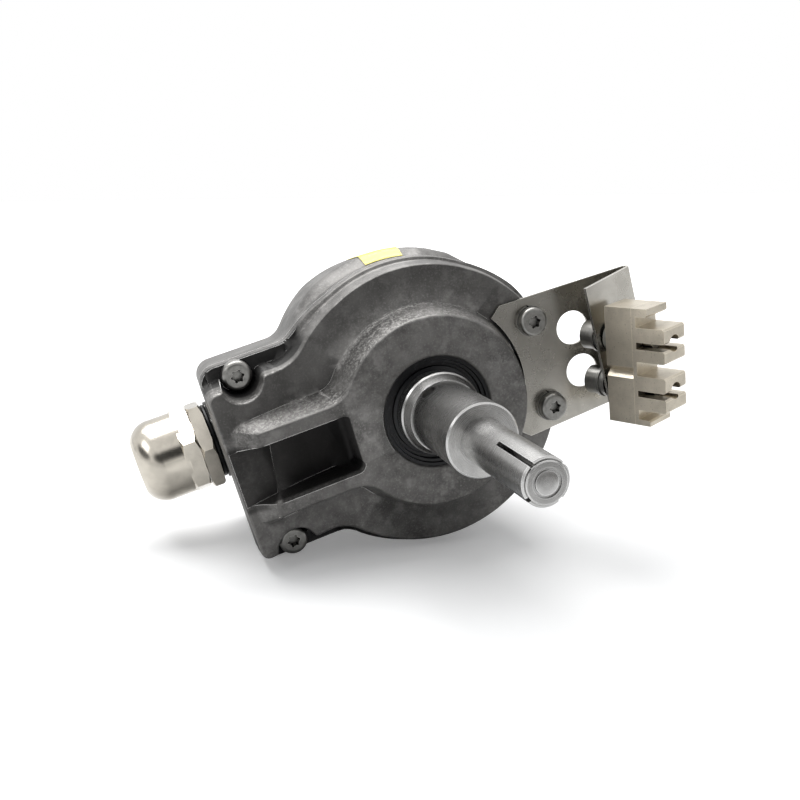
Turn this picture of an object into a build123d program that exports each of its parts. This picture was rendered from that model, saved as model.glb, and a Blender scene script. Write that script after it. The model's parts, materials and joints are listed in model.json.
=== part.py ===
"""Incremental rotary encoder with an expanding shaft, a terminal box and a sheet metal clamp arm.

Millimetres. The shaft runs along Y with its tip toward -Y, +Z is up.
The origin is the centre of the shaft's shoulder, where the 12 mm tip meets the 20 mm shaft.
The body leans by LEAN about the shaft, as it stands on its rim and on the corner of the box.
"""
from build123d import *
from math import cos, radians, sin, sqrt, tan
import os

os.makedirs("parts", exist_ok=True)

# Driving dimensions: shaft
SHAFT_R = 10.0
SHAFT_L = 31.9          # shoulder to the boss face
TIP_R = 6.0
TIP_L = 35.5
JOURNAL_R = 6.0         # rear end that carries the pulse disc
SLOT_W = 1.2
SLOT_L = 18.0
SLOT_ANGLE = 131.0      # of the first of the four slots, round the shaft from +X
BORE_R = 3.4
PIN_R = 3.05
DRAW_R = 1.9            # draw screw shank
RUNNING = 0.05          # radial clearance of sliding and screwed fits
FIT = 0.02              # radial clearance of pressed fits
GROOVE = 1.2            # depth of the retaining ring groove in the hub

# Driving dimensions: body, depths are counted backwards from the boss face
LEAN = 16.3
FACE_D = 9.4            # round front face
FLANGE_D = 16.5         # seat of the cover screws
SEAM_D = 20.0
GASKET_T = 0.4
REAR_D = 58.0
WALL = 3.2
RIM_R = 44.2
RIM_LEDGE = 2.7         # from the rim inward to the round front face
RIM_WALL = 5.4          # from the rim inward to the cavity
RIM_HALF = 30.0
BOX_LEFT = 59.3
FACE_R = RIM_R - RIM_LEDGE
FACE_HALF = 25.0
BOSS_R = 27.4
RIB_HALF = 12.3         # outer edge of the rib crests
POCKET_HALF = 8.7
POCKET_RIGHT = 24.4
RIB_END = 50.5
RIB_FOOT = 56.5
SCALLOP_R = 6.1
BODY_DRAFT = 10.0
BOSS_DRAFT = 17.0
REAR_R = 38.1
REAR_HALF = 23.9
REAR_LEFT = 57.3

# Driving dimensions: fasteners
COVER_SCREW = (49.0, 26.0)
BRACKET_SCREW = (36.6, 13.6)
M5_SHANK = 2.4
M5_HEAD_R = 4.25
M5_CLEAR = 2.7
COVER_HEAD_H = 3.3
BRACKET_HEAD_H = 2.5
LOCK_WASHER = (4.6, 1.2)
COVER_SCREW_END = 26.0
BRACKET_SCREW_END = 30.5
STAR_R = 0.36           # star recess: shares of the head's radius and height
STAR_LOBE = 0.1
STAR_DEPTH = 0.6

# Driving dimensions: bearings and seal
BEARING_R = 21.0
BEARING_W = 12.0
SEAT_D = 9.6
SPACER_L = 6.0
HUB_R = 26.0
SEAL_R = 16.0
SLEEVE_R = 11.9
SLEEVE_FRONT = -2.6

# Driving dimensions: cable gland
GLAND_V = 1.8
GLAND_D = 44.5
GLAND_PAD = 58.8
GLAND_THREAD_R = 9.8
GLAND_AF = 25.0
GLAND_DOME_R = 12.7
CABLE_R = 5.5
O_RING_W = 1.5

# Driving dimensions: torque bracket, clamp block
SHEET_T = 0.8
BEND_R = 0.9
BEND_U = 69.4
FLAP_ANGLE = 25.5
FLAP_L = 21.4
PLATE_LEFT_HALF = 20.9
PLATE_RIGHT_HALF = 19.4
PLATE_CUT_R = 31.0
ACCESS = (49.4, 6.9)
ACCESS_R = 5.1
BLOCK_U = 51.5
BLOCK_D = -4.5
BLOCK_V = -3.05
BLOCK_TURN = 8.0
BLOCK_TILT = 5.0
BLOCK_W = 10.4
BLOCK_HALF = 17.15
BASE_T = 8.9
TAB_N = 13.9
JAW_N = 19.3
WEB_T = 1.3
CLAMP_PITCH = 6.9

# The body's directions: U toward the bracket, V across, front toward the shaft tip
U = Vector(cos(radians(LEAN)), 0, sin(radians(LEAN)))
V = Vector(-sin(radians(LEAN)), 0, cos(radians(LEAN)))
BACK = Vector(0, 1, 0)
BOSS_CENTRE = Vector(0, SHAFT_L, 0)
BODY = Plane(origin=BOSS_CENTRE, x_dir=U, z_dir=-BACK)      # x is U, y is V, normal to the front
SIDE = Plane(origin=BOSS_CENTRE, x_dir=U, z_dir=-V)         # x is U, y is the way forward


def at_depth(depth):
    """Sketch plane across the body, a depth behind the boss face."""
    return BODY.offset(-depth)


def body_point(u, v, depth):
    """Place in the body's own directions."""
    return BOSS_CENTRE + U * u + V * v + BACK * depth


def turned_profile(points):
    """Closed half section about the shaft, from (radius, depth) corners."""
    with BuildSketch(Plane.XY) as profile:
        with BuildLine():
            Polyline(*[(radius, SHAFT_L + depth) for radius, depth in points], close=True)
        make_face()
    return profile.sketch


def tube_profile(inner, outer, front, back):
    """Half section of a plain ring about the shaft."""
    return turned_profile([(inner, front), (outer, front), (outer, back), (inner, back)])


def shell_plan(radius, half, left, corner, neck):
    """Round body joined to the terminal box, with rounded necks and corners."""
    with BuildSketch(Plane.XY) as plan:
        Circle(radius)
        with Locations((-left / 2, 0)):
            Rectangle(left, 2 * half)
        fillet(plan.vertices().sort_by(Axis.X)[2:4], neck)
        fillet(plan.vertices().sort_by(Axis.X)[:2], corner)
    return plan.sketch


def pan_screws(places, seat, head_height, end, shank, head):
    """Pan head screws with a six lobed recess, the heads in front of their seat."""
    with BuildPart() as screws:
        with BuildSketch(at_depth(seat)):
            with Locations(*places):
                Circle(head)
        extrude(amount=head_height)
        fillet(screws.edges().group_by(Axis.Y)[0], 0.4 * head_height)
        with BuildSketch(at_depth(seat)):
            with Locations(*places):
                Circle(shank)
        extrude(amount=seat - end)
        with BuildSketch(at_depth(seat - head_height)):
            for u, v in places:
                with Locations((u, v)):
                    Circle(STAR_R * head)
                with Locations((u, v)):
                    with PolarLocations(STAR_R * head, 6):
                        Circle(STAR_LOBE * head)
        extrude(amount=-STAR_DEPTH * head_height, mode=Mode.SUBTRACT)
    return screws.part


def shell_sections(front_depth, back_depth, inset, corner, neck):
    """Planes and plans of the rear cover's drafted wall, inset by a wall thickness."""
    length = REAR_D - SEAM_D
    sections = []
    for depth in (front_depth, back_depth):
        share = (depth - SEAM_D) / length
        radius = RIM_R + (REAR_R - RIM_R) * share - inset
        half = RIM_HALF + (REAR_HALF - RIM_HALF) * share - inset
        left = BOX_LEFT + (REAR_LEFT - BOX_LEFT) * share - inset
        sections.append((at_depth(depth), shell_plan(radius, half, left, corner, neck)))
    return sections


# Front housing: plans that its steps share
DRAFT_GROWTH = (FLANGE_D - FACE_D) * tan(radians(BODY_DRAFT))
BOSS_GROWTH = FACE_D * tan(radians(BOSS_DRAFT))
COVER_SCREWS = [(-COVER_SCREW[0], COVER_SCREW[1]), (-COVER_SCREW[0], -COVER_SCREW[1])]
BRACKET_SCREWS = [(BRACKET_SCREW[0], BRACKET_SCREW[1]), (BRACKET_SCREW[0], -BRACKET_SCREW[1])]
CAVITY_D = 13.4
CAVITY_R = RIM_R - RIM_WALL
BOX_CAVITY = (BOX_LEFT - 3.1, RIM_HALF - 13.5)
NECK_CAVITY = (38.0, RIM_HALF - 9)
POST_R = 5.4
CIRCLIP_D = SEAT_D + 2 * BEARING_W + SPACER_L
CIRCLIP_T = 1.2
HUB_BACK = CIRCLIP_D + CIRCLIP_T + 2.0
BOARD_POST_R = 3.0
BOARD_POST_AT = 28.7
BOARD_D = 50.4
TERMINAL_POST_R = 2.8
TERMINAL_POSTS = [(-50.0, 12.0), (-50.0, -12.0)]
TERMINAL_BOARD_D = 24.0
M3_HOLE = 1.3

with BuildSketch(Plane.XY) as raised_plan:
    add(shell_plan(FACE_R + DRAFT_GROWTH, FACE_HALF + DRAFT_GROWTH, BOX_LEFT + DRAFT_GROWTH, 3.6, 11))
    with Locations(*COVER_SCREWS):
        Circle(SCALLOP_R - DRAFT_GROWTH, mode=Mode.SUBTRACT)
    mouths = raised_plan.vertices().filter_by(
        lambda p: -COVER_SCREW[0] < p.X < -COVER_SCREW[0] + SCALLOP_R
        and FACE_HALF < abs(p.Y) < FACE_HALF + 2 * DRAFT_GROWTH)
    fillet(mouths, 2.5)

with BuildSketch(Plane.XY) as cavity_plan:
    Circle(CAVITY_R)
    for reach, half in (BOX_CAVITY, NECK_CAVITY):
        with Locations((-reach / 2, 0)):
            Rectangle(reach, 2 * half)
    with Locations(*BRACKET_SCREWS):
        Circle(POST_R, mode=Mode.SUBTRACT)
    fillet(cavity_plan.vertices().sort_by(Axis.X)[:4], 2)

# Pocket between the ribs: drafted walls over a gently curved floor, open at the left end
with BuildPart() as rib_pocket:
    with BuildSketch(BODY.offset(1)) as mouth:
        with Locations((-(POCKET_RIGHT + 80) / 2, 0)):
            Rectangle(80 - POCKET_RIGHT, 2 * POCKET_HALF)
        fillet(mouth.vertices().sort_by(Axis.X)[-2:], 2.5)
    extrude(amount=-14, taper=3)
    with BuildSketch(SIDE):
        with BuildLine():
            floor = ThreePointArc(
                (-POCKET_RIGHT + 1, -FACE_D - 2), (-42, -FACE_D - 1.5), (-63, -FACE_D + 0.4))
            Polyline(floor @ 1, (-63, 2), (-POCKET_RIGHT + 1, 2), floor @ 0)
        make_face()
    extrude(amount=POCKET_HALF + 2, both=True, mode=Mode.INTERSECT)

with BuildPart() as front_housing:
    # rim against the gasket
    with BuildSketch(at_depth(SEAM_D)):
        add(shell_plan(RIM_R, RIM_HALF, BOX_LEFT, 5, 7))
    extrude(amount=SEAM_D - FLANGE_D, taper=4)
    # raised body with the scalloped screw recesses
    with BuildSketch(at_depth(FLANGE_D)):
        add(raised_plan.sketch)
    extrude(amount=FLANGE_D - FACE_D, taper=BODY_DRAFT)
    fillet(front_housing.faces().sort_by(Axis.Y)[0].outer_wire().edges(), 0.8)
    # seal boss and the block of the two ribs, drawn as one tapered form
    with BuildSketch(at_depth(FACE_D)):
        add(shell_plan(BOSS_R + BOSS_GROWTH, RIB_HALF + BOSS_GROWTH, RIB_FOOT, 2.5, 6))
    extrude(amount=FACE_D, taper=BOSS_DRAFT)
    with BuildSketch(SIDE):
        with BuildLine():
            Polyline((-RIB_END, 0), (-RIB_END, 3), (-65, 3), (-65, -FACE_D), (-RIB_FOOT, -FACE_D),
                     close=True)
        make_face()
    extrude(amount=FACE_HALF, both=True, mode=Mode.SUBTRACT)
    fillet(front_housing.faces().sort_by(Axis.Y)[0].outer_wire().edges(), 0.8)
    add(rib_pocket.part, mode=Mode.SUBTRACT)
    # flat end face that the draft would push out
    with BuildSketch(SIDE):
        with Locations((-BOX_LEFT - 5, -SEAM_D / 2)):
            Rectangle(10, 2 * SEAM_D)
    extrude(amount=RIM_HALF + 2, both=True, mode=Mode.SUBTRACT)
    # inside: cavity, bearing hub, posts
    with BuildSketch(at_depth(SEAM_D)):
        add(cavity_plan.sketch)
    extrude(amount=SEAM_D - CAVITY_D, mode=Mode.SUBTRACT)
    add(tube_profile(SEAL_R, HUB_R, CAVITY_D - 1, HUB_BACK))
    revolve(axis=Axis.Y)
    with BuildSketch(at_depth(BOARD_D)):
        with PolarLocations(BOARD_POST_AT, 3, start_angle=60):
            Circle(BOARD_POST_R)
    extrude(amount=BOARD_D - CAVITY_D + 1)
    with BuildSketch(at_depth(TERMINAL_BOARD_D)):
        with Locations(*TERMINAL_POSTS):
            Circle(TERMINAL_POST_R)
    extrude(amount=TERMINAL_BOARD_D - CAVITY_D + 1)
    # stepped bore for the seal, the bearings and the retaining ring
    add(turned_profile([
        (0, -2), (SEAL_R + 0.6, -2), (SEAL_R + 0.6, 0), (SEAL_R, 0.6), (SEAL_R, SEAT_D - 1.4),
        (SEAL_R - 1.2, SEAT_D - 1.4), (SEAL_R - 1.2, SEAT_D), (BEARING_R, SEAT_D),
        (BEARING_R, CIRCLIP_D), (BEARING_R + GROOVE, CIRCLIP_D),
        (BEARING_R + GROOVE, CIRCLIP_D + CIRCLIP_T), (BEARING_R, CIRCLIP_D + CIRCLIP_T),
        (BEARING_R, HUB_BACK + 1), (0, HUB_BACK + 1)]))
    revolve(axis=Axis.Y, mode=Mode.SUBTRACT)
    # screw holes
    with BuildSketch(at_depth(SEAM_D)):
        with Locations(*COVER_SCREWS, *BRACKET_SCREWS):
            Circle(M5_CLEAR)
    extrude(amount=SEAM_D - FACE_D + 1, mode=Mode.SUBTRACT)
    with BuildSketch(at_depth(BOARD_D)):
        with PolarLocations(BOARD_POST_AT, 3, start_angle=60):
            Circle(M3_HOLE)
    extrude(amount=9, mode=Mode.SUBTRACT)
    with BuildSketch(at_depth(TERMINAL_BOARD_D)):
        with Locations(*TERMINAL_POSTS):
            Circle(M3_HOLE)
    extrude(amount=7, mode=Mode.SUBTRACT)

front_housing.part.label = "front_housing"
export_step(front_housing.part, "parts/front_housing.step")

# Joint between the two shells
BACK_D = SEAM_D + GASKET_T
with BuildPart() as housing_gasket:
    with BuildSketch(at_depth(BACK_D)):
        add(shell_plan(RIM_R - 0.6, RIM_HALF - 0.6, BOX_LEFT - 0.6, 4.4, 7.6))
        add(cavity_plan.sketch, mode=Mode.SUBTRACT)
        with Locations(*COVER_SCREWS, *BRACKET_SCREWS):
            Circle(M5_CLEAR, mode=Mode.SUBTRACT)
    extrude(amount=GASKET_T)
housing_gasket.part.label = "housing_gasket"
export_step(housing_gasket.part, "parts/housing_gasket.step")

# Rear cover: drafted shell with screw posts, the gland's flat pad and a hole for the plug
COVER_POST_R = 5.2
THREAD_R = M5_SHANK + RUNNING
PLUG_R = 9.0
GLAND_PAD_R = 12.2
GLAND_ORIGIN = body_point(-GLAND_PAD, GLAND_V, GLAND_D)
GLAND_END = Plane(origin=GLAND_ORIGIN, x_dir=BACK, z_dir=-U)
GLAND_SECTION = Plane(origin=GLAND_ORIGIN, x_dir=BACK, z_dir=V)
GLAND_AXIS = Axis(GLAND_ORIGIN, -U)

with BuildPart() as cover_cavity:
    for place, plan in shell_sections(SEAM_D - 1, REAR_D - WALL, WALL, 2.5, 7 + WALL):
        with BuildSketch(place):
            add(plan)
    loft(ruled=True)
    with BuildSketch(at_depth(REAR_D)):
        with Locations(*COVER_SCREWS):
            Circle(COVER_POST_R)
        with Locations(*BRACKET_SCREWS):
            Circle(POST_R)
    extrude(amount=REAR_D, mode=Mode.SUBTRACT)

with BuildPart() as rear_cover:
    for place, plan in shell_sections(BACK_D, REAR_D, 0, 5, 7):
        with BuildSketch(place):
            add(plan)
    loft(ruled=True)
    fillet(rear_cover.faces().sort_by(Axis.Y)[-1].edges(), 2.2)
    add(cover_cavity.part, mode=Mode.SUBTRACT)
    with BuildSketch(GLAND_END):
        Circle(GLAND_PAD_R)
    extrude(amount=BOX_CAVITY[0] - GLAND_PAD - WALL)
    with BuildSketch(GLAND_END):
        Circle(GLAND_THREAD_R + RUNNING)
    extrude(amount=-2 * WALL - 2, mode=Mode.SUBTRACT)
    with BuildSketch(at_depth(BACK_D)):
        with Locations(*COVER_SCREWS):
            Circle(THREAD_R)
    extrude(amount=BACK_D - COVER_SCREW_END - 0.5, mode=Mode.SUBTRACT)
    with BuildSketch(at_depth(BACK_D)):
        with Locations(*BRACKET_SCREWS):
            Circle(THREAD_R)
    extrude(amount=BACK_D - BRACKET_SCREW_END - 0.5, mode=Mode.SUBTRACT)
    with BuildSketch(at_depth(REAR_D)):
        Circle(PLUG_R + RUNNING)
    extrude(amount=WALL + 1, mode=Mode.SUBTRACT)
rear_cover.part.label = "rear_cover"
export_step(rear_cover.part, "parts/rear_cover.step")

# Plug in the rear wall, over the draw screw
with BuildPart() as rear_plug:
    add(turned_profile([
        (0, REAR_D - WALL), (PLUG_R, REAR_D - WALL), (PLUG_R, REAR_D), (PLUG_R + 2, REAR_D),
        (PLUG_R + 2, REAR_D + 1.2), (PLUG_R + 1.2, REAR_D + 2), (0, REAR_D + 2)]))
    revolve(axis=Axis.Y)
    with BuildSketch(at_depth(REAR_D + 2)):
        RegularPolygon(5.0, 6, major_radius=False)
    extrude(amount=3.2, mode=Mode.SUBTRACT)
rear_plug.part.label = "rear_plug"
export_step(rear_plug.part, "parts/rear_plug.step")

# Yellow plate on the round side of the rear cover
LABEL_FROM = 101.0
LABEL_TO = 117.0
LABEL_D = (23.0, 45.0)
LABEL_T = 0.15
label_start = Plane(
    origin=(0, 0, 0), x_dir=(cos(radians(LABEL_TO)), 0, sin(radians(LABEL_TO))),
    z_dir=(-sin(radians(LABEL_TO)), 0, cos(radians(LABEL_TO))))
rear_radius = [RIM_R + (REAR_R - RIM_R) * (depth - SEAM_D) / (REAR_D - SEAM_D) for depth in LABEL_D]
with BuildPart() as label:
    with BuildSketch(label_start):
        with BuildLine():
            Polyline((rear_radius[0] + FIT, SHAFT_L + LABEL_D[0]),
                     (rear_radius[0] + LABEL_T, SHAFT_L + LABEL_D[0]),
                     (rear_radius[1] + LABEL_T, SHAFT_L + LABEL_D[1]),
                     (rear_radius[1] + FIT, SHAFT_L + LABEL_D[1]), close=True)
        make_face()
    revolve(axis=Axis.Y, revolution_arc=LABEL_TO - LABEL_FROM)
label.part.label = "label"
export_step(label.part, "parts/label.step")

# Screws of the two shells and of the bracket
BRACKET_SEAT = FACE_D - SHEET_T - LOCK_WASHER[1]
with BuildPart() as cover_screws:
    add(pan_screws(COVER_SCREWS, FLANGE_D, COVER_HEAD_H, COVER_SCREW_END, M5_SHANK, M5_HEAD_R))
cover_screws.part.label = "cover_screws"
export_step(cover_screws.part, "parts/cover_screws.step")

with BuildPart() as bracket_screws:
    add(pan_screws(BRACKET_SCREWS, BRACKET_SEAT, BRACKET_HEAD_H, BRACKET_SCREW_END, M5_SHANK, M5_HEAD_R))
bracket_screws.part.label = "bracket_screws"
export_step(bracket_screws.part, "parts/bracket_screws.step")

with BuildPart() as bracket_washers:
    with BuildSketch(at_depth(FACE_D - SHEET_T)):
        with Locations(*BRACKET_SCREWS):
            Circle(LOCK_WASHER[0])
            Circle(THREAD_R, mode=Mode.SUBTRACT)
            with Locations((0, 0.5 * LOCK_WASHER[0])):
                Rectangle(0.6, LOCK_WASHER[0] + 1, mode=Mode.SUBTRACT)
    extrude(amount=LOCK_WASHER[1])
bracket_washers.part.label = "bracket_washers"
export_step(bracket_washers.part, "parts/bracket_washers.step")

# Shaft: 20 mm body, slotted 12 mm tip, groove and thinner rear end, bored through
CIRCLIP_GROOVE_R = 9.3
SHAFT_END_D = 42.2
JOURNAL_END_D = 52.0
TIP_CHAMFER = 0.4
TIP_END_D = -SHAFT_L - TIP_L
CONE_END = -21.0        # y where the tip's cone ends
CONE_SMALL = 2.4
SCREW_BORE = DRAW_R + 0.2
DRAW_HEAD = (3.6, 3.2)
DRAW_SEAT_D = JOURNAL_END_D - DRAW_HEAD[1] - 0.6
CROSS_HOLE_R = 2.25
CROSS_HOLE_D = -7.5
CROSS_HOLE_ANGLE = 127.0
TIP_END = Plane(origin=(0, -TIP_L, 0), x_dir=(1, 0, 0), z_dir=(0, -1, 0))
cross_way = Vector(cos(radians(CROSS_HOLE_ANGLE)), 0, sin(radians(CROSS_HOLE_ANGLE)))
cross_start = Plane(origin=cross_way * (SHAFT_R + 1) + BACK * (SHAFT_L + CROSS_HOLE_D), z_dir=-cross_way)

with BuildPart() as shaft:
    add(turned_profile([
        (0, TIP_END_D), (TIP_R - TIP_CHAMFER, TIP_END_D), (TIP_R, TIP_END_D + TIP_CHAMFER),
        (TIP_R, -SHAFT_L), (SHAFT_R - TIP_CHAMFER, -SHAFT_L), (SHAFT_R, -SHAFT_L + TIP_CHAMFER),
        (SHAFT_R, CIRCLIP_D), (CIRCLIP_GROOVE_R, CIRCLIP_D), (CIRCLIP_GROOVE_R, CIRCLIP_D + CIRCLIP_T),
        (SHAFT_R, CIRCLIP_D + CIRCLIP_T), (SHAFT_R, SHAFT_END_D), (JOURNAL_R, SHAFT_END_D),
        (JOURNAL_R, JOURNAL_END_D), (0, JOURNAL_END_D)]))
    revolve(axis=Axis.Y)
    add(turned_profile([
        (0, TIP_END_D), (BORE_R, TIP_END_D), (PIN_R + RUNNING, TIP_END_D + 0.3),
        (CONE_SMALL, CONE_END - SHAFT_L), (SCREW_BORE, CONE_END - SHAFT_L),
        (SCREW_BORE, DRAW_SEAT_D), (DRAW_HEAD[0] + 0.3, DRAW_SEAT_D),
        (DRAW_HEAD[0] + 0.3, JOURNAL_END_D), (0, JOURNAL_END_D)]))
    revolve(axis=Axis.Y, mode=Mode.SUBTRACT)
    with BuildSketch(TIP_END):
        for quarter in (0, 90):
            Rectangle(2 * TIP_R + 2, SLOT_W, rotation=SLOT_ANGLE + quarter)
    extrude(amount=-SLOT_L, mode=Mode.SUBTRACT)
    with BuildSketch(cross_start):
        Circle(CROSS_HOLE_R)
    extrude(amount=SHAFT_R - SCREW_BORE - 2, mode=Mode.SUBTRACT)
shaft.part.label = "shaft"
export_step(shaft.part, "parts/shaft.step")

# Cone that spreads the tip, and the long screw that draws it in
PIN_GAP = 0.1
with BuildPart() as expander_pin:
    add(turned_profile([
        (0, TIP_END_D), (PIN_R - 0.4, TIP_END_D), (PIN_R - PIN_GAP, TIP_END_D + 0.4),
        (CONE_SMALL - PIN_GAP, CONE_END - SHAFT_L - 0.5), (DRAW_R + RUNNING, CONE_END - SHAFT_L - 0.5),
        (DRAW_R + RUNNING, TIP_END_D + 5), (0, TIP_END_D + 5)]))
    revolve(axis=Axis.Y)
expander_pin.part.label = "expander_pin"
export_step(expander_pin.part, "parts/expander_pin.step")

with BuildPart() as draw_screw:
    add(turned_profile([
        (0, TIP_END_D + 6.6), (DRAW_R, TIP_END_D + 6.6),
        (DRAW_R, DRAW_SEAT_D), (DRAW_HEAD[0], DRAW_SEAT_D),
        (DRAW_HEAD[0], JOURNAL_END_D - 0.6), (0, JOURNAL_END_D - 0.6)]))
    revolve(axis=Axis.Y)
    with BuildSketch(at_depth(JOURNAL_END_D - 0.6)):
        RegularPolygon(1.5, 6, major_radius=False)
    extrude(amount=2, mode=Mode.SUBTRACT)
draw_screw.part.label = "draw_screw"
export_step(draw_screw.part, "parts/draw_screw.step")

# Running sleeve on the shaft and the lip seal round it
with BuildPart() as seal_sleeve:
    add(turned_profile([
        (SHAFT_R + FIT, SLEEVE_FRONT - 2.9), (SHAFT_R + 0.3, SLEEVE_FRONT - 2.9),
        (SLEEVE_R - 0.4, SLEEVE_FRONT),
        (SLEEVE_R, SLEEVE_FRONT + 0.5), (SLEEVE_R, SEAT_D), (SHAFT_R + FIT, SEAT_D)]))
    revolve(axis=Axis.Y)
seal_sleeve.part.label = "seal_sleeve"
export_step(seal_sleeve.part, "parts/seal_sleeve.step")

with BuildPart() as shaft_seal:
    add(turned_profile([
        (SLEEVE_R + RUNNING, 1.6), (SLEEVE_R + 1, 1.9), (SLEEVE_R + 1.2, 2.6), (SLEEVE_R + 2, 2.6),
        (SLEEVE_R + 2.2, 1.5), (SEAL_R - 1.1, 1.5), (SEAL_R - 0.9, 0.8), (SEAL_R - FIT, 0.8),
        (SEAL_R - FIT, SEAT_D - 1.4), (SEAL_R - 2, SEAT_D - 1.4), (SEAL_R - 2, 4.2), (SLEEVE_R + 1, 4.4),
        (SLEEVE_R + 0.6, 6), (SLEEVE_R + RUNNING, 5.6), (SLEEVE_R + 0.3, 3.6)]))
    revolve(axis=Axis.Y)
shaft_seal.part.label = "shaft_seal"
export_step(shaft_seal.part, "parts/shaft_seal.step")

# Two sealed ball bearings: rings, with the shields in the outer ring
RING_IN = 12.8
RING_OUT = 18.2
SHIELD = (13.0, 0.3, 0.9)


def inner_ring(front):
    """Half section of a bearing's inner ring."""
    return turned_profile([
        (SHAFT_R + FIT, front), (RING_IN, front), (RING_IN, front + BEARING_W),
        (SHAFT_R + FIT, front + BEARING_W)])


def outer_ring(front):
    """Half section of a bearing's outer ring with a shield near each face."""
    back = front + BEARING_W
    inner, face, rear = SHIELD
    return turned_profile([
        (RING_OUT, front), (BEARING_R - FIT, front), (BEARING_R - FIT, back), (RING_OUT, back),
        (RING_OUT, back - face), (inner, back - face), (inner, back - rear), (RING_OUT, back - rear),
        (RING_OUT, front + rear), (inner, front + rear), (inner, front + face), (RING_OUT, front + face)])


REAR_BEARING_D = SEAT_D + BEARING_W + SPACER_L
with BuildPart() as front_bearing_inner:
    add(inner_ring(SEAT_D))
    revolve(axis=Axis.Y)
front_bearing_inner.part.label = "front_bearing_inner"
export_step(front_bearing_inner.part, "parts/front_bearing_inner.step")

with BuildPart() as front_bearing_outer:
    add(outer_ring(SEAT_D))
    revolve(axis=Axis.Y)
front_bearing_outer.part.label = "front_bearing_outer"
export_step(front_bearing_outer.part, "parts/front_bearing_outer.step")

with BuildPart() as rear_bearing_inner:
    add(inner_ring(REAR_BEARING_D))
    revolve(axis=Axis.Y)
rear_bearing_inner.part.label = "rear_bearing_inner"
export_step(rear_bearing_inner.part, "parts/rear_bearing_inner.step")

with BuildPart() as rear_bearing_outer:
    add(outer_ring(REAR_BEARING_D))
    revolve(axis=Axis.Y)
rear_bearing_outer.part.label = "rear_bearing_outer"
export_step(rear_bearing_outer.part, "parts/rear_bearing_outer.step")

with BuildPart() as inner_spacer:
    add(tube_profile(SHAFT_R + FIT, RING_IN - 0.3, SEAT_D + BEARING_W, REAR_BEARING_D))
    revolve(axis=Axis.Y)
inner_spacer.part.label = "inner_spacer"
export_step(inner_spacer.part, "parts/inner_spacer.step")

with BuildPart() as outer_spacer:
    add(tube_profile(RING_OUT + 0.3, BEARING_R - FIT, SEAT_D + BEARING_W, REAR_BEARING_D))
    revolve(axis=Axis.Y)
outer_spacer.part.label = "outer_spacer"
export_step(outer_spacer.part, "parts/outer_spacer.step")

with BuildPart() as bearing_circlip:
    add(tube_profile(BEARING_R - 2.2, BEARING_R + GROOVE - FIT, CIRCLIP_D, CIRCLIP_D + CIRCLIP_T - FIT))
    revolve(axis=Axis.Y, revolution_arc=330)
bearing_circlip.part.label = "bearing_circlip"
export_step(bearing_circlip.part, "parts/bearing_circlip.step")

with BuildPart() as shaft_circlip:
    add(tube_profile(CIRCLIP_GROOVE_R + FIT, SHAFT_R + 1.6, CIRCLIP_D, CIRCLIP_D + CIRCLIP_T - FIT))
    revolve(axis=Axis.Y, revolution_arc=320)
shaft_circlip.part.label = "shaft_circlip"
export_step(shaft_circlip.part, "parts/shaft_circlip.step")

# Pulse disc on the shaft's rear end, between the light source and the sensor
DISC_D = 46.0
DISC_T = 1.0
DISC_R = 24.0
DISC_BORE = 9.0
WINDOWS = 36
with BuildPart() as disc_hub:
    add(turned_profile([
        (JOURNAL_R + FIT, HUB_BACK + 0.6), (DISC_BORE - 0.5, HUB_BACK + 0.6),
        (DISC_BORE - 0.5, DISC_D - 1.6),
        (DISC_BORE + 4, DISC_D - 1.6), (DISC_BORE + 4, DISC_D), (DISC_BORE, DISC_D),
        (DISC_BORE, DISC_D + 4), (JOURNAL_R + FIT, DISC_D + 4)]))
    revolve(axis=Axis.Y)
disc_hub.part.label = "disc_hub"
export_step(disc_hub.part, "parts/disc_hub.step")

with BuildPart() as code_disc:
    with BuildSketch(at_depth(DISC_D + DISC_T)):
        Circle(DISC_R)
        Circle(DISC_BORE + FIT, mode=Mode.SUBTRACT)
        with PolarLocations(DISC_R - 3, WINDOWS):
            Rectangle(3, 1.2, mode=Mode.SUBTRACT)
    extrude(amount=DISC_T)
code_disc.part.label = "code_disc"
export_step(code_disc.part, "parts/code_disc.step")

with BuildPart() as disc_clamp:
    add(tube_profile(DISC_BORE + FIT, DISC_BORE + 3.5, DISC_D + DISC_T, DISC_D + DISC_T + 1.5))
    revolve(axis=Axis.Y)
disc_clamp.part.label = "disc_clamp"
export_step(disc_clamp.part, "parts/disc_clamp.step")

# Boards, light source, sensor head
BOARD_T = 1.6
BOARD_R = 32.0
M3_SHANK = M3_HOLE - RUNNING
M3_HEAD_R = 2.75
LIGHT_FROM = 17.0
LIGHT_ARM = 25.2
LIGHT_TO = 29.0
LIGHT_HALF = 6.0
with BuildPart() as sensor_board:
    with BuildSketch(at_depth(BOARD_D + BOARD_T)):
        Circle(BOARD_R)
        Circle(DISC_BORE + 3, mode=Mode.SUBTRACT)
        with PolarLocations(BOARD_POST_AT, 3, start_angle=60):
            Circle(M3_HOLE + 0.3, mode=Mode.SUBTRACT)
    extrude(amount=BOARD_T)
sensor_board.part.label = "sensor_board"
export_step(sensor_board.part, "parts/sensor_board.step")

with BuildPart() as sensor_head:
    with BuildSketch(at_depth(BOARD_D)):
        with Locations((0, (LIGHT_FROM + LIGHT_ARM) / 2 - 0.6)):
            Rectangle(2 * LIGHT_HALF, LIGHT_ARM - LIGHT_FROM - 1.2)
    extrude(amount=BOARD_D - DISC_D - DISC_T - 0.8)
sensor_head.part.label = "sensor_head"
export_step(sensor_head.part, "parts/sensor_head.step")

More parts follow.
